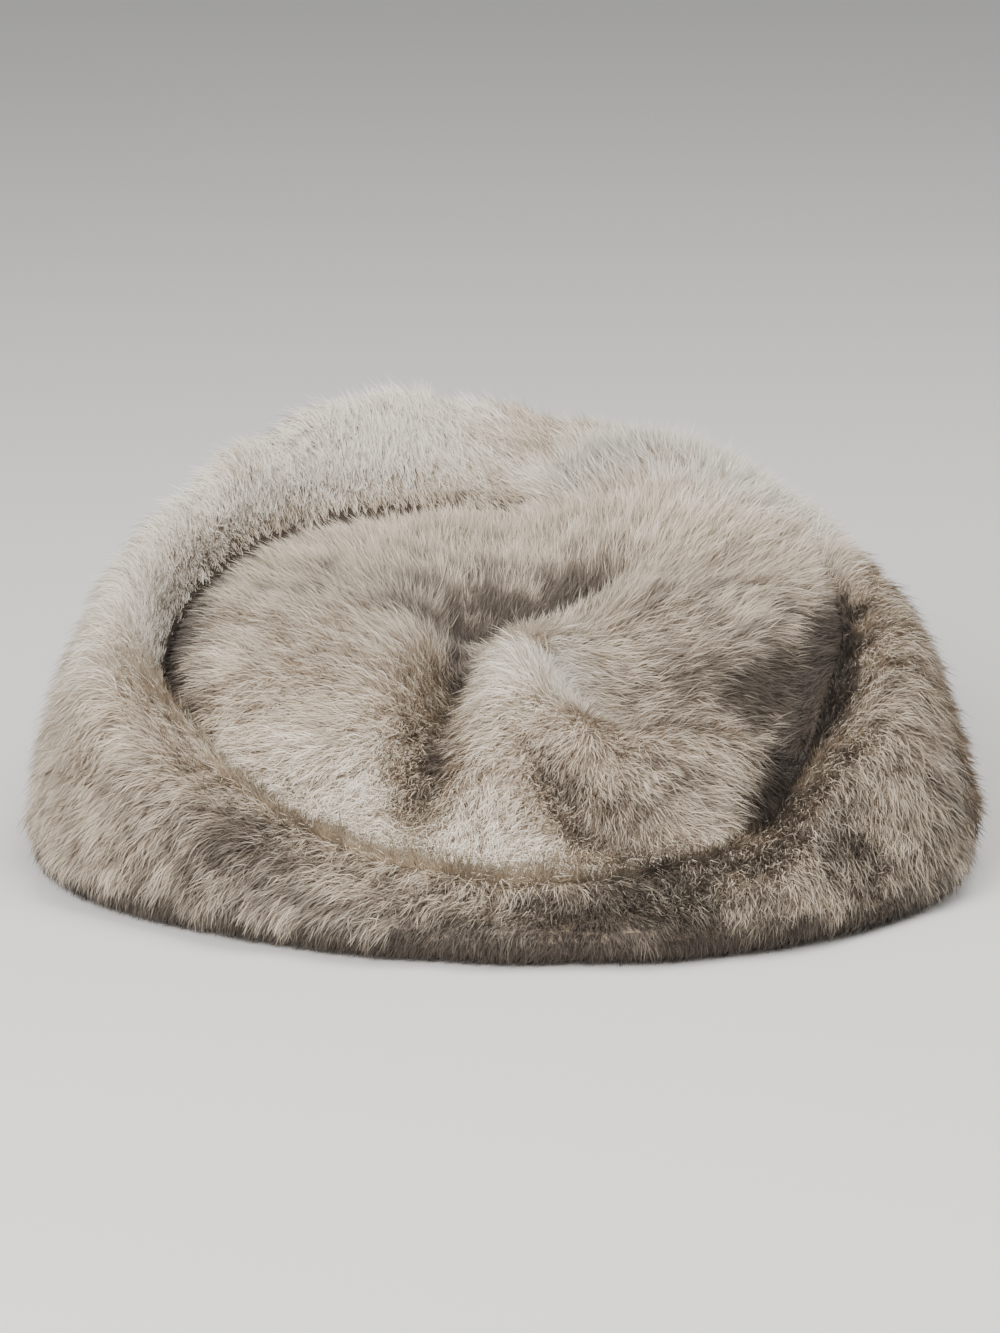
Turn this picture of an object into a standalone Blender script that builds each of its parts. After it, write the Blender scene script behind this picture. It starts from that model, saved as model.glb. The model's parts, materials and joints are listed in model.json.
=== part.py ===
"""A soft fur pillbox hat, slumped on its rim: a thick fur side band round a sunken, crumpled fur crown.

Metres, +Z up. The hat stands on its hem at z = 0, the wearer's face is towards -Y, and the origin is the
middle of the foot of its bounding box. Sizes in the tables are millimetres.
"""

import math

import bpy
from mathutils import Vector

MM = 0.001

# Driving sizes, in millimetres
SEAM_GAP = 0.3
SEAM_TUCK = 1.5
CROWN_THICKNESS = 13.0
CROWN_EDGE_THICKNESS = 9.0
HEM_INSET = 4.5
HEM_CLEARANCE = 1.0

# The grid of each pelt. Both have the same steps round, so the sewn edges run side by side
SEGMENTS_ROUND = 110
HEM_STEPS = 2
FOOT_STEPS = 3
OUTER_STEPS = 10
INNER_STEPS = 8
WALL_STEPS = 4
CROWN_UPPER_RINGS = 21
CROWN_LOWER_RINGS = 9

# Locks of fur, as raised tufts that overlap like shingles
BAND_LOCKS_ROUND = 22
BAND_LOCK_LENGTH = 30.0
BAND_LOCK_HEIGHT = 2.0
CROWN_LOCKS_ROUND = 16
CROWN_LOCK_LENGTH = 24.0
CROWN_LOCK_HEIGHT = 2.0
LOCK_OVERLAP = 1.5
LOCK_LEAN = 1.6
LOCK_FADE_STEPS = 4

# The band's section at each azimuth, counted from +X towards +Y, so 90 is the back and 270 the front.
# outer and belly: the widest point's radius and height. crest: the top of the roll.
# seam: where the crown is sewn in
BAND_COLUMNS = ("azimuth", "outer", "belly", "crest_radius", "crest", "seam_radius", "seam")
BAND_SECTIONS = (
    (0, 112, 16, 95, 59, 85, 50),
    (30, 111, 20, 96, 65, 87, 63),
    (60, 111, 24, 96, 80, 88, 76),
    (88, 109, 28, 94, 89, 89, 63),
    (112, 109, 28, 95, 94, 89, 63),
    (135, 111, 24, 96, 85, 88, 61),
    (152, 112, 20, 97, 73, 87, 54),
    (180, 115, 15, 97, 60, 86, 41),
    (207, 123, 12, 107, 48, 87, 33),
    (235, 117, 11, 104, 27, 93, 19),
    (268, 116, 8, 106, 15, 98, 11),
    (300, 123, 8, 109, 18, 97, 13),
    (325, 126, 11, 107, 39, 85, 25),
    (345, 118, 14, 100, 54, 81, 39),
)

# How full the outside of the roll is: 2 is an ellipse, and less is flatter, like a leaning wall
OUTER_FULLNESS = 1.6
INNER_FULLNESS = 2.0

# Soft dents in the outside of the band: their middle, their half-sizes round and up it, and their depth
DENT_COLUMNS = ("name", "azimuth", "height", "half_angle", "half_height", "depth")
BAND_DENTS = (
    ("right_dent", 319, 26, 7, 17, 6),
    ("left_dent", 204, 30, 10, 14, 3),
)

# The crown's plateau: its height over the middle, and its rise towards the back, per millimetre
PLATEAU = 51.0
RISE_BACK = 0.11
UNDERSIDE_FOLLOWS = 0.6

# The crown's shoulder at each azimuth: how far in from the seam it reaches, as a share of the way to the
# middle, and how full it is
SHOULDER_COLUMNS = ("azimuth", "reach", "fullness")
SHOULDERS = (
    (0, 0.18, 2.2),
    (60, 0.16, 2.2),
    (110, 0.10, 2.2),
    (180, 0.20, 2.2),
    (205, 0.30, 2.0),
    (235, 0.55, 1.7),
    (270, 0.68, 1.5),
    (300, 0.60, 1.6),
    (330, 0.34, 2.0),
)

# Folds and dents of the crown: a run from start to end in plan, its half-width, and its height, which is
# negative for a dent
FOLD_COLUMNS = ("name", "start_x", "start_y", "end_x", "end_y", "width", "height")
FOLDS = (
    ("back_left_rise", -52, 52, -14, 72, 20, 4),
    ("back_right_ramp", 43, 66, 70, 44, 25, 15),
    ("middle_dent", -10, 22, 16, 29, 9, -17),
    ("middle_ridge", 6, -14, 2, -62, 11, 6),
    ("front_fold", -8, 4, -21, -72, 7, -11),
    ("right_roll", 32, 12, 62, 4, 15, 6),
    ("right_crease", 29, -27, 66, -30, 13, -21),
    ("puff", 46, -62, 57, -55, 16, 4),
    ("puff_dent", 14, -66, 28, -86, 6, -9),
    ("side_pocket", 74, -12, 72, -44, 8, -10),
    ("left_panel", -48, 8, -46, -24, 26, 3),
)


def smooth_ring(rows, azimuth):
    """The table's row at any azimuth in degrees, on a closed curve that passes through each of its rows."""
    count = len(rows)
    azimuth %= 360
    after = next((i for i, row in enumerate(rows) if row[0] > azimuth), count)
    points = []
    for index in range(after - 2, after + 2):
        turns, place = divmod(index, count)
        row = rows[place]
        points.append((row[0] + 360 * turns, *row[1:]))
    before, start, end, beyond = points
    span = end[0] - start[0]
    t = (azimuth - start[0]) / span
    found = []
    for k in range(1, len(start)):
        slope_in = (end[k] - before[k]) / (end[0] - before[0]) * span
        slope_out = (beyond[k] - start[k]) / (beyond[0] - start[0]) * span
        found.append(
            (2 * t**3 - 3 * t**2 + 1) * start[k]
            + (t**3 - 2 * t**2 + t) * slope_in
            + (3 * t**2 - 2 * t**3) * end[k]
            + (t**3 - t**2) * slope_out
        )
    return found


def band_section(azimuth):
    """The band's sizes at an azimuth, by column name."""
    return dict(zip(BAND_COLUMNS[1:], smooth_ring(BAND_SECTIONS, azimuth)))


def quarter(start, end, steps, flat_first, fullness=2.0):
    """Points along a quarter of an oval, without its last one. flat_first starts it along the radius."""
    points = []
    for step in range(steps):
        turn = math.pi / 2 * step / steps
        along = math.sin(turn) ** (2 / fullness)
        across = 1 - math.cos(turn) ** (2 / fullness)
        if not flat_first:
            along, across = across, along
        radius = start[0] + (end[0] - start[0]) * along
        height = start[1] + (end[1] - start[1]) * across
        points.append((radius, height))
    return points


def straight(start, end, steps):
    """Points along a line, without its last one."""
    return [
        (
            start[0] + (end[0] - start[0]) * step / steps,
            start[1] + (end[1] - start[1]) * step / steps,
        )
        for step in range(steps)
    ]


def section_outline(azimuth):
    """The band's closed section as (radius, height) points: hem, foot, outside, inner roll, inner wall."""
    size = band_section(azimuth)
    inner = size["seam_radius"]
    hem_in = (inner, 0.0)
    hem_out = (size["outer"] - HEM_INSET, 0.0)
    belly = (size["outer"], size["belly"])
    crest = (size["crest_radius"], size["crest"])
    seam = (inner, size["seam"])
    return (
        straight(hem_in, hem_out, HEM_STEPS)
        + quarter(hem_out, belly, FOOT_STEPS, flat_first=True)
        + quarter(belly, crest, OUTER_STEPS, flat_first=False, fullness=OUTER_FULLNESS)
        + quarter(crest, seam, INNER_STEPS, flat_first=True, fullness=INNER_FULLNESS)
        + straight(seam, hem_in, WALL_STEPS)
    )


def lock_relief(along, across, length, height):
    """How far the fur stands up on its pelt. along is the way down the fur, and across counts locks."""
    last_row = math.floor(along / length)
    highest = 0.0
    for row in (last_row - 1, last_row):
        side = 2 * ((across + 0.5 * (row % 2)) % 1.0) - 1
        share = (along / length - row) / LOCK_OVERLAP
        if share < 1:
            highest = max(highest, math.sin(math.pi * share**LOCK_LEAN) * (1 - side**2))
    return height * highest


def dent_depth(azimuth, height):
    """How far the band is pressed in at a place on its outside."""
    total = 0.0
    for values in BAND_DENTS:
        dent = dict(zip(DENT_COLUMNS, values))
        round_off = ((azimuth - dent["azimuth"] + 180) % 360 - 180) / dent["half_angle"]
        up_off = (height - dent["height"]) / dent["half_height"]
        total += dent["depth"] * math.exp(-(round_off**2) - up_off**2)
    return total


def pushed_out(outline, index, distance):
    """A point of the section moved out of the pelt, square to the outline."""
    radius, height = outline[index]
    before, after = outline[index - 1], outline[(index + 1) % len(outline)]
    run, climb = after[0] - before[0], after[1] - before[1]
    size = math.hypot(run, climb)
    return radius + distance * climb / size, height - distance * run / size


def band_point(azimuth, index):
    """A point of the band's surface in millimetres, with its dents and locks."""
    outline = section_outline(azimuth)
    first = HEM_STEPS + 1
    crest = HEM_STEPS + FOOT_STEPS + OUTER_STEPS
    last = crest + INNER_STEPS - 1
    radius, height = outline[index]
    if first <= index <= last:
        way_up = outline[index : last + 2]
        along = sum(math.dist(a, b) for a, b in zip(way_up, way_up[1:]))
        fade = min(1.0, (index - first + 1) / LOCK_FADE_STEPS, (last - index) / LOCK_FADE_STEPS)
        across = azimuth / 360 * BAND_LOCKS_ROUND
        lift = lock_relief(along, across, BAND_LOCK_LENGTH, BAND_LOCK_HEIGHT)
        if index < crest:
            lift -= dent_depth(azimuth, height)
        radius, height = pushed_out(outline, index, lift * fade)
    turn = math.radians(azimuth)
    return Vector((radius * math.cos(turn), radius * math.sin(turn), height))


def fold_height(x, y):
    """How far the folds lift the crown at a place in plan."""
    total = 0.0
    for values in FOLDS:
        fold = dict(zip(FOLD_COLUMNS, values))
        run_x, run_y = fold["end_x"] - fold["start_x"], fold["end_y"] - fold["start_y"]
        from_x, from_y = x - fold["start_x"], y - fold["start_y"]
        share = (from_x * run_x + from_y * run_y) / (run_x**2 + run_y**2)
        share = min(1.0, max(0.0, share))
        away = math.hypot(from_x - share * run_x, from_y - share * run_y)
        total += fold["height"] * math.exp(-((away / fold["width"]) ** 2))
    return total


def shoulder(azimuth, share):
    """1 over the plateau, falling to 0 at the seam, where share is 1."""
    size = dict(zip(SHOULDER_COLUMNS[1:], smooth_ring(SHOULDERS, azimuth)))
    past = max(0.0, (share - (1 - size["reach"])) / size["reach"])
    return max(0.0, 1 - past ** size["fullness"]) ** (1 / size["fullness"])


def crown_point(azimuth, share, upper):
    """A point of the crown in millimetres, share of the way from its middle to its sewn edge."""
    size = band_section(azimuth)
    rim_height = size["seam"] - SEAM_TUCK
    radius = (size["seam_radius"] - SEAM_GAP) * share
    turn = math.radians(azimuth)
    x, y = radius * math.cos(turn), radius * math.sin(turn)
    plateau = PLATEAU + RISE_BACK * y
    over = shoulder(azimuth, share)
    if upper:
        across = azimuth / 360 * CROWN_LOCKS_ROUND
        locks = lock_relief(radius, across, CROWN_LOCK_LENGTH, CROWN_LOCK_HEIGHT) * share
        height = rim_height + (plateau + fold_height(x, y) + locks - rim_height) * over
        return Vector((x, y, height))
    low_rim = max(rim_height - CROWN_EDGE_THICKNESS, HEM_CLEARANCE)
    under = plateau - CROWN_THICKNESS + UNDERSIDE_FOLLOWS * fold_height(x, y)
    return Vector((x, y, low_rim + (under - low_rim) * over))


def fur_material(name, colour):
    """A plain fur finish."""
    material = bpy.data.materials.new(name)
    material.use_nodes = True
    shader = material.node_tree.nodes["Principled BSDF"]
    shader.inputs["Base Color"].default_value = (*colour, 1)
    shader.inputs["Roughness"].default_value = 0.85
    shader.inputs["Metallic"].default_value = 0.0
    return material


def finish(name, colour):
    """Names the new object, gives it its finish and shades it smooth."""
    made = bpy.context.object
    made.name = made.data.name = name
    made.data.materials.append(fur_material(name, colour))
    made.data.shade_smooth()
    return made


def make_side_band():
    """The rolled fur band: a torus whose section is shaped at each azimuth."""
    sections = HEM_STEPS + FOOT_STEPS + OUTER_STEPS + INNER_STEPS + WALL_STEPS
    bpy.ops.mesh.primitive_torus_add(
        major_segments=SEGMENTS_ROUND,
        minor_segments=sections,
        major_radius=1.0,
        minor_radius=0.25,
    )
    band = finish("side_band", (0.52, 0.45, 0.38))
    for vertex in band.data.vertices:
        azimuth = math.degrees(math.atan2(vertex.co.y, vertex.co.x)) % 360
        turn = math.atan2(vertex.co.z, math.hypot(vertex.co.x, vertex.co.y) - 1.0)
        index = round(turn / (2 * math.pi) * sections) % sections
        vertex.co = band_point(azimuth, index) * MM
    return band


def make_crown():
    """The crumpled fur crown: a ball whose upper rings are the fur side and lower rings the inside."""
    rings = CROWN_UPPER_RINGS + 1 + CROWN_LOWER_RINGS
    bpy.ops.mesh.primitive_uv_sphere_add(segments=SEGMENTS_ROUND, ring_count=rings, radius=1.0)
    crown = finish("crown", (0.60, 0.53, 0.45))
    for vertex in crown.data.vertices:
        azimuth = math.degrees(math.atan2(vertex.co.y, vertex.co.x)) % 360
        down = math.acos(max(-1.0, min(1.0, vertex.co.z))) / math.pi
        ring = round(down * rings)
        upper = ring <= CROWN_UPPER_RINGS
        share = ring / CROWN_UPPER_RINGS if upper else (rings - ring) / CROWN_LOWER_RINGS
        vertex.co = crown_point(azimuth, share, upper) * MM
    return crown


def clear_scene():
    for old in list(bpy.data.objects):
        bpy.data.objects.remove(old)


def stand_on_origin(pieces):
    """Moves the pieces so that the middle of the foot of their box is the origin."""
    places = [v.co for piece in pieces for v in piece.data.vertices]
    low = Vector(min(p[k] for p in places) for k in range(3))
    high = Vector(max(p[k] for p in places) for k in range(3))
    shift = Vector(((low.x + high.x) / 2, (low.y + high.y) / 2, low.z))
    for piece in pieces:
        for vertex in piece.data.vertices:
            vertex.co -= shift


def main():
    clear_scene()
    hat = bpy.data.collections.new("fur_pillbox_hat")
    bpy.context.scene.collection.children.link(hat)
    pieces = [make_side_band(), make_crown()]
    stand_on_origin(pieces)
    for piece in pieces:
        for old in list(piece.users_collection):
            old.objects.unlink(piece)
        hat.objects.link(piece)


main()
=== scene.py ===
"""The fur pillbox hat dressed for the camera: two fur pelts, the side band and the crown, and their inside.

Metres, +Z up. The hat rests on the floor at z = 0 with its front towards -Y.
"""

import json
import math

import bpy
import numpy as np
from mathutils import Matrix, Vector
from mathutils.bvhtree import BVHTree
from mathutils.kdtree import KDTree

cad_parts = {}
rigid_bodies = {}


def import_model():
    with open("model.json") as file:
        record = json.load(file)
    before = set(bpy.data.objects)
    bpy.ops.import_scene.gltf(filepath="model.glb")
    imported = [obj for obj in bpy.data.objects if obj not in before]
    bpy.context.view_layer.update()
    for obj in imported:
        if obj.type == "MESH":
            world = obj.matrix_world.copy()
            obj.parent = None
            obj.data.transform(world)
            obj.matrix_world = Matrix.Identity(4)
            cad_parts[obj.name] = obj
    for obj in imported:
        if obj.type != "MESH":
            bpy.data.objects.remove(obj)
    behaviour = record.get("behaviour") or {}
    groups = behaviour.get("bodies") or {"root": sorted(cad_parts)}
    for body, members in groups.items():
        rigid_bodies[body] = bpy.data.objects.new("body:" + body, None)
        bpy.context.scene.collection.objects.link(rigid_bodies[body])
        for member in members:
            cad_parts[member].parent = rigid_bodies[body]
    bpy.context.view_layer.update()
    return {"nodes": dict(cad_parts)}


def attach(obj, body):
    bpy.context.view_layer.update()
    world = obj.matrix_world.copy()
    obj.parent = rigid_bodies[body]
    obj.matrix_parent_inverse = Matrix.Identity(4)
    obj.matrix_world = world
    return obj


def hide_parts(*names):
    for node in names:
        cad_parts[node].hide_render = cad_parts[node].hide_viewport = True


MM = 0.001
LEAST_LENGTH = 1e-9
UP = Vector((0, 0, 1))

# The photograph's view
PHOTO_WIDTH = 1000
PHOTO_HEIGHT = 1333
PIXELS_PER_MM = 4.0
CAMERA_DISTANCE = 1.1
CAMERA_ELEVATION = 15.0
CAMERA_TARGET = Vector((0.0, -0.005, 0.035))
TARGET_PIXEL = (502, 698)
SENSOR_WIDTH = 36.0

# The floor, the lamps round the hat and the light in the air
FLOOR_SIZE = 14.0
PAPER_COLOUR = (0.8, 0.79, 0.78)
PAPER_ROUGHNESS = 0.9
HAT_MIDDLE = Vector((0.0, 0.0, 0.04))
LAMP_COLUMNS = ("name", "place", "size", "watts", "colour")
LAMPS = (
    ("key_front_left", (-0.6, -1.0, 0.75), 0.8, 28.0, (1.0, 0.98, 0.95)),
    ("top_soft", (0.35, -0.1, 1.2), 0.8, 10.0, (1.0, 0.99, 0.97)),
    ("right_fill", (1.0, -0.5, 0.7), 0.9, 4.0, (1.0, 0.98, 0.95)),
)
AIR_COLOUR = (1.0, 1.0, 1.0)
AIR_STRENGTH = 0.38

# The hair's colours and shine, and where one colour gives way to the next along a hair and over its tone,
# which carries painted light and painted shade as well as the fur's own mottling
HAIR_COLOURS = {
    "Root": (0.33, 0.25, 0.18),
    "Middle": (0.54, 0.43, 0.32),
    "Tip": (0.78, 0.67, 0.53),
    "Dark Hair And Painted Shade": (0.06, 0.045, 0.034),
    "Pale Hair And Painted Light": (0.93, 0.86, 0.75),
}
HAIR_FINISH = {
    "Roughness": 0.5,
    "Specular IOR Level": 0.35,
    "Sheen Weight": 0.15,
    "Sheen Roughness": 0.5,
}
ROOT_TO_MIDDLE = (0.0, 0.5)
MIDDLE_TO_TIP = (0.35, 1.0)
DARK_TO_PLAIN = (0.0, 0.5)
PLAIN_TO_PALE = (0.5, 1.1)

# The hide: suede of two browns with a fine grain, wool under the fur, and painted shade in its creases and
# folds
SUEDE_DARK = (0.13, 0.10, 0.075)
SUEDE_PALE = (0.20, 0.155, 0.12)
WOOL = (0.32, 0.25, 0.185)
PAINTED_CREASE_SHADE_COLOUR = (0.05, 0.036, 0.026)
GRAIN_SCALE = 900.0
GRAIN_DETAIL = 4.0
GRAIN_STRENGTH = 0.4
GRAIN_DEPTH = 0.3 * MM
HIDE_ROUGHNESS = 0.9

# The pelts: their skin's grid, how far it lies under the fur, where it counts as open to it, and how thin a
# pelt may get
SKIN_GRID = 2.5 * MM
SKIN_SOFTER = 0.5
SKIN_SOFTER_ROUNDS = 3
FUR_DEPTH = 2.8 * MM
FLOOR_CLEARANCE = 0.3 * MM
HEM_HEIGHT = 1.5 * MM
HEM_FACES_DOWN = -0.7
OPEN_STEP = 1.2 * MM
OPEN_TILT = 0.8
SOLID_STEP = 0.2 * MM
NOTHING_BELOW = 1.0
FOLD_DEEPER = 0.3
LEAST_PELT = 1.5 * MM
FUR_CORNERS = 2

# The tufts, and how many numbers are drawn for each: its turn in three directions, length, lift and tone
TUFT_AREA = 5.0 * MM**2
TUFT_DRAWS = 6

# How many times a value on the skin is evened out with its neighbours
EVEN_SLIGHTLY = 2
EVEN_FINE = 3
EVEN_EDGE = 4
EVEN_BROAD = 20
EVEN_LEVEL = 60

# Where the fur flows away from, on each pelt: the place in plan, its pull and its reach, in millimetres
SOURCE_COLUMNS = ("x", "y", "pull", "reach")
CROWN_SOURCES = (
    (4, 4, 1.0, 400),
    (22, -47, 2.4, 32),
)
BAND_SOURCES = ((43, 80, 1.0, 400),)
SOURCE_SOFT = 10

# How strongly the fur is drawn up the slopes that face out of the hat and those that face in, and how much of
# the hollows' painted shade is left out on the inner ones
OUTER_RISE = -0.7
BAND_INNER_RISE = 1.1
CROWN_INNER_RISE = -0.2
SLOPE_TURN = (-0.2, 0.2)
INNER_FILLED = 0.7

# The sewn seam at each azimuth, counted from +X towards +Y. depth is 1 where it lies in a deep crease and 0
# where the crown's fur flows on over the band, slope is how fast the hat falls outwards there, and the two
# reaches are how far up each side the crease's painted shade goes, in millimetres
SEAM_COLUMNS = ("azimuth", "depth", "slope", "side_band", "crown")
SEAM = (
    (8, 0.9, 0.1, 5, 11),
    (25, 0.1, 0.3, 5, 7),
    (76, 0.0, 0.3, 5, 5),
    (90, 1.0, 0.1, 6, 12),
    (140, 1.0, 0.1, 6, 14),
    (160, 1.0, 0.1, 5, 16),
    (185, 1.0, 0.1, 5, 18),
    (205, 0.6, 0.4, 5, 15),
    (220, 0.15, 0.6, 6, 10),
    (236, 0.0, 0.9, 6, 7),
    (295, 0.0, 0.9, 6, 7),
    (312, 0.7, 0.7, 5, 9),
    (330, 1.0, 0.3, 5, 14),
)
FULL_TURN = 360

# Beside the seam: where the crease's painted shade is darkest, where the fur is short, and where no fold is
# pressed in
CREASE_START_SHARE = 0.35
PAINTED_CREASE_SHADE = 0.6
CREASE_SHADE_SLOPE = (-0.5, 0.0)
SHORT_START = 2.5 * MM
SHORT_REACH = 12.0 * MM
EDGE_START = 2.0 * MM
EDGE_REACH = 14.0 * MM

# Where the fur closes over the seam: its reach, how far the groove is filled, and how the hair changes
CLOSED_START = 2.0 * MM
CLOSED_REACH = 13.0 * MM
CLOSED_FILL = 6.0 * MM
CLOSED_PALER = 0.28
CLOSED_ROOT = 0.9
CLOSED_ROOT_SPAN = (0.2, 0.9)
CLOSED_LONGER = 0.4
CLOSED_FLATTER = 0.3

# The crown's deep folds, as runs in plan in millimetres: how far each reaches to either side of its run, how
# deep it is pressed in, how much painted shade darkens its fur, and how much shorter its fur is
FOLD_COLUMNS = ("name", "start_x", "start_y", "end_x", "end_y", "reach", "depth", "darker", "shorter")
FOLDS = (
    ("middle_dent_left", -14, 16, -8, 31, 6, 2, 0.5, 0.4),
    ("middle_dent_back", -8, 32, 22, 41, 7, 2, 0.7, 0.7),
    ("middle_lip", -6, 11, 20, 8, 7, 2, 0.0, 0.6),
    ("front_fold_top", -8, 4, -13, -42, 4, 2, 0.3, 0.3),
    ("front_fold_foot", -13, -42, -20, -72, 5, 2, 0.5, 0.4),
    ("roll_face", 28, -14, 58, -13, 6, 1, 0.25, 0.3),
    ("roll_face_end", 62, -12, 80, -5, 8, 2, 0.65, 0.5),
    ("right_crease", 31, -26, 68, -28, 5, 2, 0.65, 0.6),
    ("puff_lip", 28, -38, 60, -40, 6, 2, 0.0, 0.6),
    ("side_pocket", 80, 2, 74, -34, 8, 2, 1.05, 0.7),
    ("side_foot", 72, -36, 60, -66, 6, 2, 0.85, 0.6),
    ("puff_dent", 14, -60, 20, -76, 6, 2, 0.3, 0.3),
    ("puff_foot", 20, -76, 36, -82, 6, 2, 0.3, 0.3),
)
FOLD_UNEVEN = 0.2
FOLD_WAVE_LENGTH = 9.0 * MM

# Paler and darker places of each pelt's fur, among them painted light and painted shade: their middle and
# reach in millimetres, and the change of tone
PATCH_COLUMNS = ("name", "x", "y", "z", "reach", "change")
PATCHES = {
    "side_band": (
        # Painted light on the back band's slope, which faces the front
        ("back_pale", -38, 84, 75, 50, 0.6),
        # Pale tips and painted light on the left rim, and painted light on the left inner slope
        ("left_rim_pale", -95, 25, 55, 48, 0.8),
        ("left_slope_pale", -88, 18, 50, 24, 0.4),
        ("right_top_pale", 62, 60, 80, 35, 0.45),
        ("front_brown", 36, -97, 12, 26, -0.45),
        ("front_dark", 0, -112, 8, 42, -0.32),
        ("right_brown", 87, -75, 20, 24, -0.3),
        ("right_lip_brown", 93, -32, 36, 24, -0.12),
        ("left_foot_brown", -70, -90, 14, 40, -0.3),
    ),
    "crown": (
        ("panel_pale", -50, -10, 50, 30, 0.12),
        ("ridge_top_pale", 8, -14, 52, 15, 0.4),
        ("ridge_pale", 4, -36, 50, 18, 0.35),
        ("ridge_foot_pale", -4, -85, 22, 24, 0.3),
        ("panel_foot_pale", -38, -76, 26, 30, 0.3),
        ("roll_shade", 50, -12, 42, 14, -0.15),
        ("roll_grey", 60, 4, 52, 20, -0.1),
        ("puff_grey", 35, -62, 35, 20, -0.1),
        ("crown_back_grey", -26, 28, 55, 27, -0.25),
        ("ramp_grey", 45, 28, 62, 26, -0.15),
        ("ramp_top_pale", 60, 68, 72, 24, 0.3),
        # Painted shade along the crown's left edge, in the crease
        ("left_edge_dark", -79, 8, 48, 11, -0.4),
    ),
}

# The mottling of the fur, and how much painted shade darkens its hollows for each millimetre of their depth
LARGE_CLOUD_LENGTH = 38 * MM
SMALL_CLOUD_LENGTH = 11 * MM
CLOUD_STRENGTH = 0.09
HOLLOW_PAINTED_SHADE = 0.03
DEEPEST_HOLLOW = 10
DARK_KNEE = 0.3

# Painted shade on the fur turned under at the foot, and the shorter fur above it
FOOT_DARK_HEIGHT = 7.5 * MM
FOOT_DARK_BLEND = 0.5
FOOT_PAINTED_SHADE = 0.75
FOOT_DARK_WAVE = 1.6 * MM
FOOT_DARK_WAVE_LENGTH = 14.0 * MM
FOOT_SHORT_START = 2 * MM
FOOT_SHORT_HEIGHT = 14.0 * MM
FOOT_SHORTEST = 0.5

# How the hair lies. Lengths are shares of the style's own length, and angles are above the skin in radians
COMB_WAVE_LENGTH = 40 * MM
SHORTER_BY = 0.55
LENGTH_LIMITS = (0.3, 1.5)
WHORL_LIFT = 0.25
ROOT_ANGLE_LIMITS = (0.12, 1.45)
TIP_ANGLE_LIMITS = (-0.1, 1.35)
ROOT_SUNK = 0.4 * MM
GATHER_POWER = 1.5

# The width of a hair: how much it varies, and its shares at the root, half way and at the tip
WIDTH_VARIES = 0.2
WIDTH_LIMITS = (0.5, 1.6)
TAPER_PLACES = (0, 0.5, 1)
TAPER_WIDTHS = (0.9, 1.0, 0.35)

# Where the hairs' colours lie on the flat map
MAP_EDGE = 0.02
MAP_SPAN = 0.96
MAP_STRAND = 0.004

# What the two kinds of hair share, and each kind's own
FUR_STYLE = {
    "comb": 0.3,
    "tuft_turn": 0.14,
    "tuft_lift": 0.1,
    "tuft_tone": 0.07,
    "hair_lift": 0.18,
    "gather": 0.1,
    "twist": 0.9,
    "sparkle": 0.18,
}
UNDER_FUR = {
    **FUR_STYLE,
    "length": 5.2 * MM,
    "segments": 1,
    "width": 0.27 * MM,
    "root_angle": 0.5,
    "tip_angle": 0.5,
    "tuft_length": 0.08,
    "hair_turn": 0.3,
    "hair_length": 0.12,
    "hair_tone": 0.1,
    "tone": 0.46,
}
GUARD_HAIR = {
    **FUR_STYLE,
    "length": 7.4 * MM,
    "segments": 2,
    "width": 0.18 * MM,
    "root_angle": 0.75,
    "tip_angle": 0.3,
    "tuft_length": 0.10,
    "hair_turn": 0.25,
    "hair_length": 0.15,
    "hair_tone": 0.11,
    "tone": 0.58,
}

# Each pelt's pieces of fur, with how many hairs each has
BAND_PIECES = (
    ("band_underfur_1", UNDER_FUR, 125000),
    ("band_underfur_2", UNDER_FUR, 125000),
    ("band_underfur_3", UNDER_FUR, 125000),
    ("band_guard_hair_1", GUARD_HAIR, 44000),
    ("band_guard_hair_2", GUARD_HAIR, 44000),
)
CROWN_PIECES = (
    ("crown_underfur", UNDER_FUR, 160000),
    ("crown_guard_hair", GUARD_HAIR, 42000),
)

# The starts of the random draws, for the hairs and for each field of waves, and what such a field is made of
SEED = 7
COMB_SEED = 11
LARGE_CLOUD_SEED = 21
SMALL_CLOUD_SEED = 22
FOOT_SEED = 23
FOLD_SEED = 31
WAVES = 8
WAVE_LENGTH_SPAN = (0.7, 1.5)


def clear_scene():
    """Nothing but the hat stands in the scene."""
    for old in list(bpy.data.objects):
        bpy.data.objects.remove(old)


def rows(columns, table):
    """The rows of a table, each with its values by the names of the columns."""
    return [dict(zip(columns, values)) for values in table]


# Camera, floor and light


def add_camera():
    """The photograph's view: its angle, and its scale at the hat."""
    data = bpy.data.cameras.new("photo_view")
    camera = bpy.data.objects.new("photo_view", data)
    bpy.context.scene.collection.objects.link(camera)
    rise = math.radians(CAMERA_ELEVATION)
    back = Vector((0.0, -math.cos(rise), math.sin(rise)))
    camera.location = CAMERA_TARGET + back * CAMERA_DISTANCE
    camera.rotation_euler = (-back).to_track_quat("-Z", "Y").to_euler()
    data.sensor_width = SENSOR_WIDTH
    focal_pixels = PIXELS_PER_MM * CAMERA_DISTANCE / MM
    data.lens = focal_pixels * SENSOR_WIDTH / PHOTO_HEIGHT
    data.shift_x = (PHOTO_WIDTH / 2 - TARGET_PIXEL[0]) / PHOTO_HEIGHT
    data.shift_y = (TARGET_PIXEL[1] - PHOTO_HEIGHT / 2) / PHOTO_HEIGHT
    bpy.context.scene.camera = camera


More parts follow.
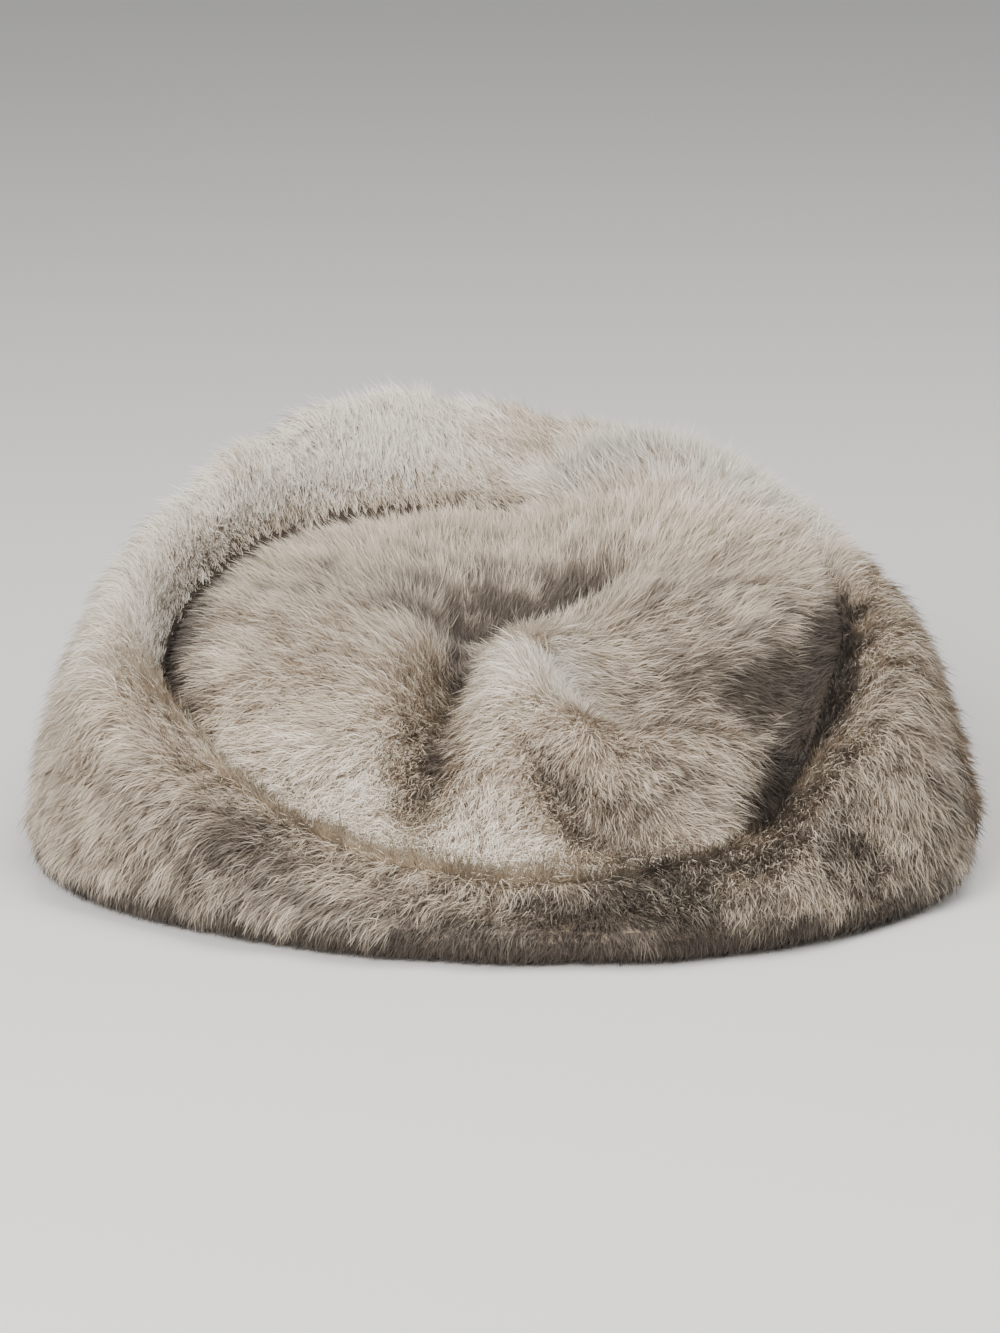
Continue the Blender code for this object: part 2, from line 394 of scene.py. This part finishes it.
def add_floor():
    """A plain pale floor."""
    bpy.ops.mesh.primitive_plane_add(size=FLOOR_SIZE)
    floor = bpy.context.object
    floor.name = "studio_floor"
    paint = bpy.data.materials.new("studio_paper")
    paint.use_nodes = True
    shader = paint.node_tree.nodes["Principled BSDF"]
    shader.inputs["Base Color"].default_value = (*PAPER_COLOUR, 1)
    shader.inputs["Roughness"].default_value = PAPER_ROUGHNESS
    floor.data.materials.append(paint)


def add_lamp(name, place, size, watts, colour):
    """A soft square lamp that shines on the hat."""
    data = bpy.data.lights.new(name, "AREA")
    data.size = size
    data.energy = watts
    data.color = colour
    lamp = bpy.data.objects.new(name, data)
    lamp.location = place
    lamp.rotation_euler = (HAT_MIDDLE - Vector(place)).to_track_quat("-Z", "Y").to_euler()
    bpy.context.scene.collection.objects.link(lamp)


def add_light():
    """Soft light from above, the left and the front."""
    for lamp in rows(LAMP_COLUMNS, LAMPS):
        add_lamp(**lamp)
    world = bpy.data.worlds.new("studio_air")
    world.use_nodes = True
    air = world.node_tree.nodes["Background"]
    air.inputs["Color"].default_value = (*AIR_COLOUR, 1)
    air.inputs["Strength"].default_value = AIR_STRENGTH
    bpy.context.scene.world = world


# Finishes


def colour_mix(tree, first, second, factor):
    """Two colours, each a plain one or another node's, mixed by the factor."""
    node = tree.nodes.new("ShaderNodeMix")
    node.data_type = "RGBA"
    tree.links.new(factor, node.inputs["Factor"])
    for side, colour in (("A", first), ("B", second)):
        if isinstance(colour, tuple):
            node.inputs[side].default_value = (*colour, 1)
        else:
            tree.links.new(colour, node.inputs[side])
    return node.outputs["Result"]


def stretched(tree, value, span):
    """The value as a smooth rise from 0 to 1 over the span."""
    node = tree.nodes.new("ShaderNodeMapRange")
    node.interpolation_type = "SMOOTHSTEP"
    node.inputs["From Min"].default_value = span[0]
    node.inputs["From Max"].default_value = span[1]
    tree.links.new(value, node.inputs["Value"])
    return node.outputs["Result"]


def fur_tone_group():
    """A hair's colour from its root to its tip, lighter or darker by the hair's tone, painted light and shade
    included.
    """
    group = bpy.data.node_groups.new("fur_tone", "ShaderNodeTree")
    sockets = group.interface
    for name in HAIR_COLOURS:
        sockets.new_socket(name, in_out="INPUT", socket_type="NodeSocketColor")
    for name in ("Along", "Tone"):
        sockets.new_socket(name, in_out="INPUT", socket_type="NodeSocketFloat")
    sockets.new_socket("Color", in_out="OUTPUT", socket_type="NodeSocketColor")
    hair = group.nodes.new("NodeGroupInput").outputs
    out = group.nodes.new("NodeGroupOutput")
    lower = colour_mix(group, hair["Root"], hair["Middle"], stretched(group, hair["Along"], ROOT_TO_MIDDLE))
    plain = colour_mix(group, lower, hair["Tip"], stretched(group, hair["Along"], MIDDLE_TO_TIP))
    darker = colour_mix(group, hair["Dark Hair And Painted Shade"], plain, stretched(group, hair["Tone"], DARK_TO_PLAIN))
    toned = colour_mix(group, darker, hair["Pale Hair And Painted Light"], stretched(group, hair["Tone"], PLAIN_TO_PALE))
    group.links.new(toned, out.inputs["Color"])
    return group


def attribute(tree, name):
    """The number that each vertex keeps under the name."""
    node = tree.nodes.new("ShaderNodeAttribute")
    node.attribute_name = name
    return node.outputs["Fac"]


def fur_finish(name, group):
    """A pelt's hair, coloured by the shared tone group."""
    material = bpy.data.materials.new(name)
    material.use_nodes = True
    tree = material.node_tree
    shader = tree.nodes["Principled BSDF"]
    tone = tree.nodes.new("ShaderNodeGroup")
    tone.node_tree = group
    for socket, colour in HAIR_COLOURS.items():
        tone.inputs[socket].default_value = (*colour, 1)
    tree.links.new(attribute(tree, "along"), tone.inputs["Along"])
    tree.links.new(attribute(tree, "tone"), tone.inputs["Tone"])
    tree.links.new(tone.outputs["Color"], shader.inputs["Base Color"])
    for socket, value in HAIR_FINISH.items():
        shader.inputs[socket].default_value = value
    return material


def hide_finish(name):
    """The pelt itself: brown suede with a fine grain, wool where fur grows, and painted shade in creases."""
    material = bpy.data.materials.new(name)
    material.use_nodes = True
    tree = material.node_tree
    shader = tree.nodes["Principled BSDF"]
    place = tree.nodes.new("ShaderNodeTexCoord")
    grain = tree.nodes.new("ShaderNodeTexNoise")
    grain.inputs["Scale"].default_value = GRAIN_SCALE
    grain.inputs["Detail"].default_value = GRAIN_DETAIL
    tree.links.new(place.outputs["Object"], grain.inputs["Vector"])
    suede = colour_mix(tree, SUEDE_DARK, SUEDE_PALE, grain.outputs["Fac"])
    wool = colour_mix(tree, suede, WOOL, attribute(tree, "fur_side"))
    skin = colour_mix(tree, wool, PAINTED_CREASE_SHADE_COLOUR, attribute(tree, "crease_shade"))
    tree.links.new(skin, shader.inputs["Base Color"])
    bump = tree.nodes.new("ShaderNodeBump")
    bump.inputs["Strength"].default_value = GRAIN_STRENGTH
    bump.inputs["Distance"].default_value = GRAIN_DEPTH
    tree.links.new(grain.outputs["Fac"], bump.inputs["Height"])
    tree.links.new(bump.outputs["Normal"], shader.inputs["Normal"])
    shader.inputs["Roughness"].default_value = HIDE_ROUGHNESS
    return material


# Arrays of places and ways


def unit(vectors):
    """Each vector made one long."""
    return vectors / np.maximum(np.linalg.norm(vectors, axis=1), LEAST_LENGTH)[:, None]


def smooth_step(values, low, high):
    """0 up to low, 1 from high on, and a smooth rise between."""
    share = np.clip((values - low) / (high - low), 0, 1)
    return share * share * (3 - 2 * share)


def bell(away, reach):
    """1 in the middle, falling off smoothly over the reach."""
    return np.exp(-((away / reach) ** 2))


def along_skin(ways, normals):
    """The part of each way that lies in the skin."""
    return ways - normals * np.einsum("ij,ij->i", ways, normals)[:, None]


def facing_out(places, normals):
    """How far each normal points away from the hat's middle."""
    return np.einsum("ij,ij->i", unit(places[:, :2]), normals[:, :2])


def nearest(points, centres):
    """The index of each point's nearest centre."""
    tree = KDTree(len(centres))
    for i, centre in enumerate(centres):
        tree.insert(Vector(centre), i)
    tree.balance()
    return np.array([tree.find(Vector(p))[1] for p in points])


def wave_field(places, scale, seed, parts):
    """Smooth random numbers of about -1 to 1 over space, whose waves are about scale metres long."""
    random = np.random.default_rng(seed)
    total = np.zeros((len(places), parts))
    turn = 2 * math.pi
    for part in range(parts):
        for _ in range(WAVES):
            way = unit(random.normal(size=(1, 3)))[0]
            length = scale * random.uniform(*WAVE_LENGTH_SPAN)
            total[:, part] += np.sin(turn * (places @ way) / length + random.uniform(0, turn))
    return total / math.sqrt(WAVES)


# Skins


def arrays_of(mesh):
    """Vertex places and normals as arrays."""
    count = len(mesh.vertices)
    places = np.empty(count * 3, np.float32)
    normals = np.empty(count * 3, np.float32)
    mesh.vertices.foreach_get("co", places)
    mesh.vertices.foreach_get("normal", normals)
    return places.reshape(-1, 3).astype(float), normals.reshape(-1, 3).astype(float)


def edges_of(mesh):
    """The pairs of neighbouring vertices."""
    pairs = np.empty(len(mesh.edges) * 2, np.int32)
    mesh.edges.foreach_get("vertices", pairs)
    return pairs.reshape(-1, 2)


def add_values(mesh, label, values):
    """One number at each vertex of the mesh, under the label."""
    layer = mesh.attributes.new(label, "FLOAT", "POINT")
    layer.data.foreach_set("value", values.astype(np.float32))


def spread(values, pairs, rounds):
    """Each vertex's value evened out with its neighbours'."""
    values = values.astype(float).copy()
    ones = np.ones(len(pairs))
    degree = np.bincount(pairs[:, 0], ones, len(values)) + np.bincount(pairs[:, 1], ones, len(values))
    for _ in range(rounds):
        if values.ndim == 1:
            total = np.bincount(pairs[:, 0], values[pairs[:, 1]], len(values))
            total += np.bincount(pairs[:, 1], values[pairs[:, 0]], len(values))
            values = 0.5 * values + 0.5 * total / degree
        else:
            values = np.stack([spread(column, pairs, 1) for column in values.T], 1)
    return values


def tree_of(node):
    """A ray-casting tree of a solid."""
    places = [v.co for v in node.data.vertices]
    faces = [tuple(p.vertices) for p in node.data.polygons]
    return BVHTree.FromPolygons(places, faces)


def remeshed(node, name):
    """The solid's own surface on an even grid, smooth, as a new object."""
    skin = bpy.data.objects.new(name, node.data.copy())
    bpy.context.scene.collection.objects.link(skin)
    even = skin.modifiers.new("even_grid", "REMESH")
    even.mode = "VOXEL"
    even.voxel_size = SKIN_GRID
    softer = skin.modifiers.new("soften", "SMOOTH")
    softer.factor = SKIN_SOFTER
    softer.iterations = SKIN_SOFTER_ROUNDS
    bpy.context.view_layer.update()
    shaped = skin.evaluated_get(bpy.context.evaluated_depsgraph_get())
    mesh = bpy.data.meshes.new_from_object(shaped)
    skin.modifiers.clear()
    skin.data = mesh
    mesh.name = name
    mesh.materials.clear()
    mesh.shade_smooth()
    return skin


def fur_side(places, normals, solids):
    """1 at each place that sees the open above it, and 0 at the hem, the inner wall and the underside."""
    outside = np.ones(len(places))
    for i, (place, normal) in enumerate(zip(places, normals)):
        start = Vector(place + normal * OPEN_STEP)
        outward = Vector((place[0], place[1], 0)).normalized()
        sideways = Vector((-outward.y, outward.x, 0))
        tilts = (Vector(), outward, -outward, sideways, -sideways)
        ways = [UP + tilt * OPEN_TILT for tilt in tilts]
        at_hem = place[2] < HEM_HEIGHT and normal[2] < HEM_FACES_DOWN
        if at_hem or not any(is_free(start, way, solids) for way in ways):
            outside[i] = 0.0
    return outside


def is_free(start, way, solids):
    """Whether nothing of the hat stands in the way."""
    return all(solid.ray_cast(start, way)[0] is None for solid in solids)


def seam_at(places, name, trees):
    """What the seam does at each place.

    In order: how much painted shade its crease gets there, how short the fur, how far the fur has closed over
    it, the way out of the hat over a closed seam, and the distance from the other pelt.
    """
    other = next(tree for key, tree in trees.items() if key != name)
    distance = np.array([other.find_nearest(Vector(p))[3] for p in places])
    azimuth = np.degrees(np.arctan2(places[:, 1], places[:, 0])) % FULL_TURN
    columns = dict(zip(SEAM_COLUMNS, zip(*SEAM)))
    depth, slope, reach = (
        np.interp(azimuth, columns["azimuth"], columns[key], period=FULL_TURN)
        for key in ("depth", "slope", name)
    )
    crease = depth * (1 - smooth_step(distance / MM, CREASE_START_SHARE * reach, reach))
    short = depth * (1 - smooth_step(distance, SHORT_START, SHORT_REACH))
    closed = (1 - depth) * (1 - smooth_step(distance, CLOSED_START, CLOSED_REACH))
    dome = unit(places[:, :2]) * slope[:, None]
    return crease, short, closed, unit(np.column_stack([dome, np.ones(len(places))])), distance


def room_below(places, solid):
    """How thick the solid is under each place of its surface: straight down or square to it, the lesser."""
    room = np.empty(len(places))
    for i, place in enumerate(places):
        near, normal, _, _ = solid.find_nearest(Vector(place))
        start = near - normal * SOLID_STEP
        square = solid.ray_cast(start, -normal)[3]
        down = solid.ray_cast(start, -UP)[3]
        room[i] = min(square or NOTHING_BELOW, down or NOTHING_BELOW)
    return room


def folds_at(places):
    """How far the folds press the pelt in at each place, and how much painted shade and how short they leave
    its fur.
    """
    depth, darker, shorter = (np.zeros(len(places)) for _ in range(3))
    uneven = 1 + FOLD_UNEVEN * wave_field(places, FOLD_WAVE_LENGTH, FOLD_SEED, 2)
    for fold in rows(FOLD_COLUMNS, FOLDS):
        start = np.array((fold["start_x"], fold["start_y"]))
        run = np.array((fold["end_x"], fold["end_y"])) - start
        offset = places[:, :2] / MM - start
        share = np.clip(offset @ run / (run @ run), 0, 1)
        away = np.linalg.norm(offset - share[:, None] * run, axis=1)
        near = bell(away, fold["reach"])
        ragged = bell(away * uneven[:, 0], fold["reach"]) * uneven[:, 1]
        depth = np.maximum(depth, near * fold["depth"] * MM)
        darker = np.maximum(darker, ragged * fold["darker"])
        shorter = np.maximum(shorter, near * fold["shorter"])
    return depth, darker, shorter


class Pelt:
    """A skin drawn in under its fur, with what the fur needs to know at each vertex."""

    def __init__(self, name, node, trees, sources, inner_rise):
        self.name = name
        self.sources = sources
        self.inner_rise = inner_rise
        self.skin = remeshed(node, name + "_skin")
        mesh = self.skin.data
        pairs = edges_of(mesh)
        places, normals = arrays_of(mesh)
        outside = fur_side(places, normals, trees.values())
        near_outside = spread(outside, pairs, EVEN_FINE)
        crease, short, closed, dome, from_seam = seam_at(places, name, trees)
        closed *= near_outside
        share = closed[:, None]
        dent, fold, shorter = folds_at(places)

        surface = unit(spread(normals, pairs, EVEN_FINE))
        hollow = np.einsum("ij,ij->i", spread(places, pairs, EVEN_LEVEL) - places, surface)
        facing = facing_out(places, unit(spread(normals, pairs, EVEN_BROAD)))
        inner = np.clip(-facing, 0, 1) * max(inner_rise, 0)
        inset = np.where(outside > 0, spread(outside, pairs, EVEN_EDGE), 0.0) * FUR_DEPTH
        pressed_in = FOLD_DEEPER * np.maximum(hollow, 0) * (1 - closed) + dent
        pressed_in *= smooth_step(from_seam, EDGE_START, EDGE_REACH) * near_outside
        room = spread(room_below(places, trees[name]), pairs, EVEN_SLIGHTLY) - LEAST_PELT
        lifted = unit(surface * (1 - share) + dome * share)
        self.places = self.draw_in(places, lifted, inset - closed * CLOSED_FILL, pressed_in, room)

        _, normals = arrays_of(mesh)
        broad = unit(spread(normals, pairs, EVEN_BROAD))
        shaded = unit(broad * (1 - share) + dome * share)
        shaded[:, 2] += inner
        self.ways = {
            "surface": unit(spread(normals, pairs, EVEN_FINE)),
            "broad": broad,
            "shaded": unit(shaded),
        }
        self.marks = {
            "hollow": hollow * (1 - closed) * (1 - INNER_FILLED * np.minimum(inner, 1)) / MM,
            "crease": crease,
            "short": np.maximum(short, shorter),
            "closed": closed,
            "fold": fold,
        }
        add_values(mesh, "fur_side", spread(outside, pairs, EVEN_SLIGHTLY))
        # Painted shade on the skin in the seam's creases and the folds, where the skin faces up
        upward = smooth_step(normals[:, 2], *CREASE_SHADE_SLOPE)
        add_values(mesh, "crease_shade", np.maximum(crease, fold) * upward)
        self.triangles, self.areas = self.fur_triangles(outside)
        random = np.random.default_rng(SEED)
        count = int(self.areas.sum() / TUFT_AREA)
        self.tufts = self.sampled(count, random)
        self.tuft_chance = random.normal(size=(count, TUFT_DRAWS))

    def draw_in(self, places, ways, drawn_in, pressed_in, room):
        """Moves the skin in against the ways and presses it down, as far as there is room."""
        moved = places - ways * np.minimum(drawn_in, np.maximum(room, 0))[:, None]
        moved[:, 2] -= np.clip(pressed_in, 0, np.maximum(room - np.maximum(drawn_in, 0), 0))
        over_hem = np.maximum(moved[:, 2], HEM_HEIGHT)
        moved[:, 2] = np.where(places[:, 2] < HEM_HEIGHT, places[:, 2], over_hem)
        mesh = self.skin.data
        mesh.vertices.foreach_set("co", moved.astype(np.float32).ravel())
        mesh.update()
        return moved

    def fur_triangles(self, outside):
        """The triangles of the skin that bear fur, and their areas."""
        mesh = self.skin.data
        mesh.calc_loop_triangles()
        triangles = np.empty(len(mesh.loop_triangles) * 3, np.int32)
        mesh.loop_triangles.foreach_get("vertices", triangles)
        triangles = triangles.reshape(-1, 3)
        triangles = triangles[outside[triangles].sum(1) >= FUR_CORNERS]
        corners = self.places[triangles]
        crossed = np.cross(corners[:, 1] - corners[:, 0], corners[:, 2] - corners[:, 0])
        return triangles, np.linalg.norm(crossed, axis=1) / 2

    def sampled(self, count, random):
        """Evenly random places on the fur side, with what the pelt knows there, by name."""
        picked = random.choice(len(self.areas), count, p=self.areas / self.areas.sum())
        a, b = random.random(count), random.random(count)
        fold = a + b > 1
        a[fold], b[fold] = 1 - a[fold], 1 - b[fold]
        shares = np.stack([1 - a - b, a, b], 1)
        ring = self.triangles[picked]

        def at(values):
            return np.einsum("ij,ij...->i...", shares, values[ring])

        return {
            "roots": at(self.places),
            **{name: unit(at(ways)) for name, ways in self.ways.items()},
            **{name: at(marks) for name, marks in self.marks.items()},
        }


# Fur


def flow_over(roots, normals, pelt):
    """The way the fur lies: away from its sources, down the outer slopes, and up or down the inner ones."""
    way = np.zeros_like(roots)
    for source in rows(SOURCE_COLUMNS, pelt.sources):
        away = roots[:, :2] - np.array((source["x"], source["y"])) * MM
        distance = np.linalg.norm(away, axis=1) / MM
        share = source["pull"] * bell(distance, source["reach"])
        way[:, :2] += away / MM * (share / (distance + SOURCE_SOFT))[:, None]
    pull_up = np.interp(facing_out(roots, normals), SLOPE_TURN, (pelt.inner_rise, OUTER_RISE))
    way[:, 2] += pull_up * np.clip(1 - normals[:, 2], 0, 1)
    return along_skin(way, normals)


def tone_at(at, patches):
    """The fur's tone at its roots: its mottling, the pelt's paler and darker places, and painted shade in
    hollows, creases, folds and at the foot.
    """
    roots = at["roots"]
    tone = CLOUD_STRENGTH * wave_field(roots, LARGE_CLOUD_LENGTH, LARGE_CLOUD_SEED, 1)[:, 0]
    tone += CLOUD_STRENGTH * wave_field(roots, SMALL_CLOUD_LENGTH, SMALL_CLOUD_SEED, 1)[:, 0]
    for patch in rows(PATCH_COLUMNS, patches):
        middle = np.array((patch["x"], patch["y"], patch["z"]))
        tone += patch["change"] * bell(np.linalg.norm(roots / MM - middle, axis=1), patch["reach"])
    # Painted shade in the hollows, the seam's creases and the folds
    tone -= HOLLOW_PAINTED_SHADE * np.clip(at["hollow"], 0, DEEPEST_HOLLOW)
    tone -= PAINTED_CREASE_SHADE * at["crease"] + at["fold"]
    tone += CLOSED_PALER * at["closed"]
    # Painted shade on the turned-under fur at the foot, below a wavy edge
    height = roots[:, 2] - FOOT_DARK_WAVE * wave_field(roots, FOOT_DARK_WAVE_LENGTH, FOOT_SEED, 1)[:, 0]
    dark_to = (1 - FOOT_DARK_BLEND) * FOOT_DARK_HEIGHT
    plain_from = (1 + FOOT_DARK_BLEND) * FOOT_DARK_HEIGHT
    tone -= FOOT_PAINTED_SHADE * (1 - smooth_step(height, dark_to, plain_from))
    return tone


def soft_limits(tone):
    """The tone kept between 0 and 1, with some of its variation left at the dark end."""
    dark = DARK_KNEE * np.exp(np.minimum(tone / DARK_KNEE - 1, 0))
    return np.where(tone < DARK_KNEE, dark, tone).clip(0, 1)


def bent_hairs(at, chance, pelt, style):
    """The points along each hair, from its root to its tip, and the way that it lies."""
    roots, surface, broad = at["roots"], at["surface"], at["broad"]
    flow = flow_over(roots, broad, pelt)
    level_out = np.column_stack([unit(roots[:, :2]), np.zeros(len(roots))])
    flow += (unit(along_skin(level_out, surface)) - flow) * at["closed"][:, None]
    strength = np.clip(np.linalg.norm(flow, axis=1), 0, 1)
    combed = wave_field(roots, COMB_WAVE_LENGTH, COMB_SEED, 3)
    flow = unit(flow) + along_skin(combed, broad) * style["comb"]
    flow = along_skin(unit(flow) + chance["turn"], broad)
    flow = unit(along_skin(unit(flow), surface))
    length = 1 + chance["length"] - SHORTER_BY * at["short"] + CLOSED_LONGER * at["closed"]
    above_foot = smooth_step(roots[:, 2], FOOT_SHORT_START, FOOT_SHORT_HEIGHT)
    length *= FOOT_SHORTEST + (1 - FOOT_SHORTEST) * above_foot
    length = style["length"] * np.clip(length, *LENGTH_LIMITS)
    lift = chance["lift"] + WHORL_LIFT * (1 - strength) - CLOSED_FLATTER * at["closed"]
    start = np.clip(style["root_angle"] + lift, *ROOT_ANGLE_LIMITS)
    end = np.clip(style["tip_angle"] + lift, *TIP_ANGLE_LIMITS)
    steps = style["segments"]
    points = [roots - surface * ROOT_SUNK]
    for k in range(steps):
        angle = start + (end - start) * k / max(steps - 1, 1)
        step = flow * np.cos(angle)[:, None] + surface * np.sin(angle)[:, None]
        points.append(points[-1] + step * (length / steps)[:, None])
    return np.stack(points, 1), flow


def grow(name, pelt, count, seed, style, material):
    """One piece of fur: a joined mesh of curved, tapering hairs rooted on the pelt."""
    random = np.random.default_rng(seed)
    at = pelt.sampled(count, random)
    mine = nearest(at["roots"], pelt.tufts["roots"])
    tuft = pelt.tuft_chance
    shared = {
        "turn": tuft[:, :3] * style["tuft_turn"],
        "length": tuft[:, 3] * style["tuft_length"],
        "lift": tuft[:, 4] * style["tuft_lift"],
    }
    own = {
        "turn": shared["turn"][mine] + random.normal(size=(count, 3)) * style["hair_turn"],
        "length": shared["length"][mine] + random.normal(size=count) * style["hair_length"],
        "lift": shared["lift"][mine] + random.normal(size=count) * style["hair_lift"],
    }
    points, flow = bent_hairs(at, own, pelt, style)
    centres, _ = bent_hairs(pelt.tufts, shared, pelt, style)
    steps = style["segments"]
    shares = np.linspace(0, 1, steps + 1)
    pull = centres[mine] - points
    pull -= flow[:, None, :] * np.einsum("ijk,ik->ij", pull, flow)[:, :, None]
    points += pull * (style["gather"] * shares**GATHER_POWER)[None, :, None]
    clear = FLOOR_CLEARANCE * (1 + random.random(count))[:, None]
    points[:, 1:, 2] = np.maximum(points[:, 1:, 2], clear)

    along = points[:, 1] - points[:, 0]
    across = unit(np.cross(along, at["surface"]))
    twist = random.uniform(-style["twist"], style["twist"], count)[:, None]
    across = unit(across * np.cos(twist) + unit(np.cross(across, along)) * np.sin(twist))
    widths = style["width"] * np.clip(1 + random.normal(size=count) * WIDTH_VARIES, *WIDTH_LIMITS)
    taper = np.interp(shares[:-1], TAPER_PLACES, TAPER_WIDTHS)
    verts = np.empty((count, steps * 2 + 1, 3))
    for k in range(steps):
        half = across * (widths * taper[k] / 2)[:, None]
        verts[:, 2 * k] = points[:, k] - half
        verts[:, 2 * k + 1] = points[:, k] + half
    verts[:, -1] = points[:, -1]
    tone = style["tone"] + tone_at(at, PATCHES[pelt.name]) + tuft[mine, 5] * style["tuft_tone"]
    tone += random.normal(size=count) * style["hair_tone"]
    shaded = unit(at["shaded"] + random.normal(size=(count, 3)) * style["sparkle"])
    root = CLOSED_ROOT * smooth_step(at["closed"], *CLOSED_ROOT_SPAN)
    return strand_mesh(name, verts, steps, shares, root, soft_limits(tone), shaded, material)


def strand_mesh(name, verts, steps, shares, root, tone, normals, material):
    """The mesh of all hairs, each a strip of faces that ends in a point."""
    count, points = verts.shape[:2]
    quads = [(2 * k, 2 * k + 1, 2 * k + 3, 2 * k + 2) for k in range(steps - 1)]
    last = (2 * steps - 2, 2 * steps - 1, 2 * steps)
    pattern = np.array([v for quad in quads for v in quad] + list(last))
    sizes = np.array([4] * len(quads) + [3])
    loops = (pattern[None, :] + (np.arange(count) * points)[:, None]).ravel()
    totals = np.tile(sizes, count)
    starts = np.concatenate([[0], np.cumsum(totals)[:-1]])
    mesh = bpy.data.meshes.new(name)
    mesh.vertices.add(count * points)
    mesh.vertices.foreach_set("co", verts.astype(np.float32).ravel())
    mesh.loops.add(len(loops))
    mesh.loops.foreach_set("vertex_index", loops.astype(np.int32))
    mesh.polygons.add(len(totals))
    mesh.polygons.foreach_set("loop_start", starts.astype(np.int32))
    mesh.update(calc_edges=True)
    mesh.validate()
    up_the_hair = np.append(np.repeat(shares[:-1], 2), 1.0)
    along = (root[:, None] + (1 - root[:, None]) * up_the_hair).ravel()
    tones = np.repeat(tone, points)
    add_values(mesh, "along", along)
    add_values(mesh, "tone", tones)
    side = np.tile(np.append(np.tile([-1.0, 1.0], steps), 0.0), count)
    u = MAP_EDGE + MAP_SPAN * tones + side * MAP_STRAND
    v = MAP_EDGE + MAP_SPAN * along
    layer = mesh.uv_layers.new(name="OFBake")
    layer.uv.foreach_set("vector", np.stack([u, v], 1)[loops].astype(np.float32).ravel())
    mesh.shade_smooth()
    mesh.normals_split_custom_set_from_vertices(np.repeat(normals, points, axis=0))
    mesh.materials.append(material)
    piece = bpy.data.objects.new(name, mesh)
    bpy.context.scene.collection.objects.link(piece)
    return piece


def place_piece(piece, node):
    """Fixes the piece to the hat and hides the solid whose place it takes."""
    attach(piece, "root")
    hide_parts(node)


def main():
    clear_scene()
    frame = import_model()
    add_camera()
    add_floor()
    add_light()
    group = fur_tone_group()
    finishes = {
        "band_fur": fur_finish("band_fur_hair", group),
        "crown_fur": fur_finish("crown_fur_hair", group),
    }
    hide = hide_finish("pelt_hide")
    trees = {name: tree_of(node) for name, node in frame["nodes"].items()}
    scale = 1.0
    for node, slot, sources, inner_rise, pieces in (
        ("side_band", "band_fur", BAND_SOURCES, BAND_INNER_RISE, BAND_PIECES),
        ("crown", "crown_fur", CROWN_SOURCES, CROWN_INNER_RISE, CROWN_PIECES),
    ):
        pelt = Pelt(node, frame["nodes"][node], trees, sources, inner_rise)
        pelt.skin.data.materials.append(hide)
        place_piece(pelt.skin, node)
        for order, (name, style, count) in enumerate(pieces):
            piece = grow(name, pelt, int(count * scale), SEED + order, style, finishes[slot])
            place_piece(piece, node)


main()
